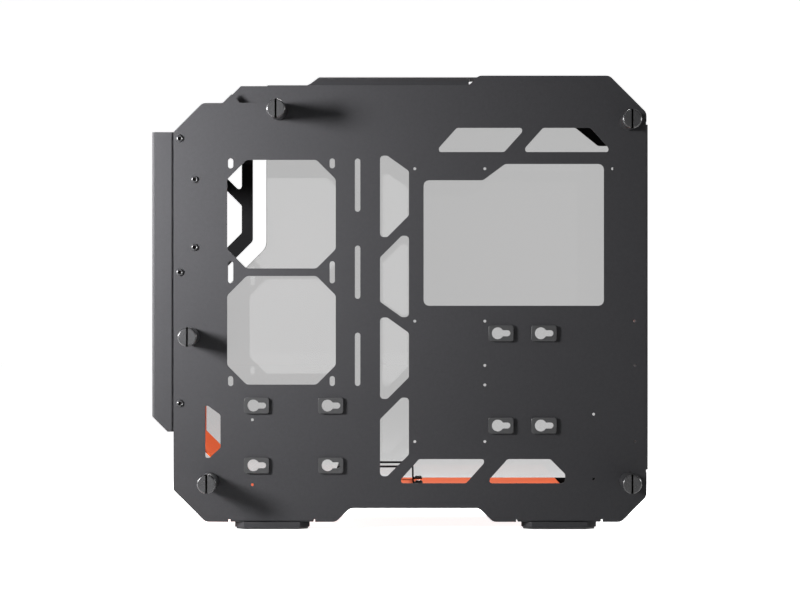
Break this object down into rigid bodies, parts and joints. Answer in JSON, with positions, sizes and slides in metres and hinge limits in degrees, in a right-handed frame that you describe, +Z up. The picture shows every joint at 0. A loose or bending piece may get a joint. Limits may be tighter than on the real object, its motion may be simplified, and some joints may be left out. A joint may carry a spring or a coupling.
{
  "type": "computer case",
  "caption": "Open frame mid tower computer case of folded black and orange sheet steel, with a tinted glass side on posts, keyhole drive pads and the cable side cover taken off.",
  "frame": {"origin": "on the floor, under the middle of the case", "axes": "+Z up, +X towards the rear wall, +Y towards the glass side, -Y the cable side of the tray"},
  "size_m": [0.5124, 0.269, 0.469],
  "materials": {
    "black_steel": "fine textured powder coat",
    "orange_steel": "satin powder coat",
    "smoked_glass": "smoke tinted and clear",
    "black_posts": "satin black",
    "black_heads": "satin black, knurl free",
    "black_rubber": "matt",
    "pad_rubber": "matt moulded rubber",
    "foot_metal": "powder coat",
    "black_screws": "black oxide",
    "zinc_screws": "zinc plated",
    "cover_steel": "powder coat",
    "housing_plastic": "moulded, fine grain",
    "button_plastic": "satin",
    "port_metal": "nickel plated"
  },
  "bodies": {
    "frame": {"motherboard_tray": "black_steel", "rear_panel": "black_steel", "left_frame": "black_steel", "front_bracket": "black_steel", "top_panel": "black_steel", "drive_bracket": "black_steel", "base_sheet": "orange_steel", "left_glass": "smoked_glass", "right_post_1": "black_posts", "left_post_1": "black_posts", "right_post_2": "black_posts", "left_post_2": "black_posts", "right_post_3": "black_posts", "left_post_3": "black_posts", "right_post_4": "black_posts", "left_post_4": "black_posts", "right_post_5": "black_posts", "left_post_5": "black_posts", "right_thumbscrews": "black_heads", "left_thumbscrews": "black_heads", "glass_washers": "black_rubber", "small_pad_1": "pad_rubber", "small_pad_2": "pad_rubber", "small_pad_3": "pad_rubber", "small_pad_4": "pad_rubber", "large_pad_1": "pad_rubber", "large_pad_2": "pad_rubber", "large_pad_3": "pad_rubber", "large_pad_4": "pad_rubber", "foot_1": "foot_metal", "sole_1": "black_rubber", "foot_2": "foot_metal", "sole_2": "black_rubber", "foot_3": "foot_metal", "sole_3": "black_rubber", "foot_4": "foot_metal", "sole_4": "black_rubber", "tray_screws": "black_screws", "frame_screws": "black_screws", "bracket_screws": "black_screws", "foot_screws": "zinc_screws", "slot_screws": "zinc_screws", "slot_cover_1": "cover_steel", "slot_cover_2": "cover_steel", "slot_cover_3": "cover_steel", "slot_cover_4": "cover_steel", "slot_cover_5": "cover_steel", "slot_cover_6": "cover_steel", "slot_cover_7": "cover_steel", "control_housing": "housing_plastic", "data_ports": "port_metal", "sound_sockets": "housing_plastic"},
    "power_key": {"power_button": "button_plastic"},
    "reset_key": {"reset_button": "button_plastic"}
  },
  "joints": [
    {"name": "power_press", "type": "slide", "parent": "frame", "child": "power_key", "axis": [1, 0, 0], "range_m": [0, 0.0015], "stiffness_N_per_m": 500, "springref_m": -0.0005},
    {"name": "reset_press", "type": "slide", "parent": "frame", "child": "reset_key", "axis": [1, 0, 0], "range_m": [0, 0.0015], "stiffness_N_per_m": 300, "springref_m": -0.0005}
  ]
}
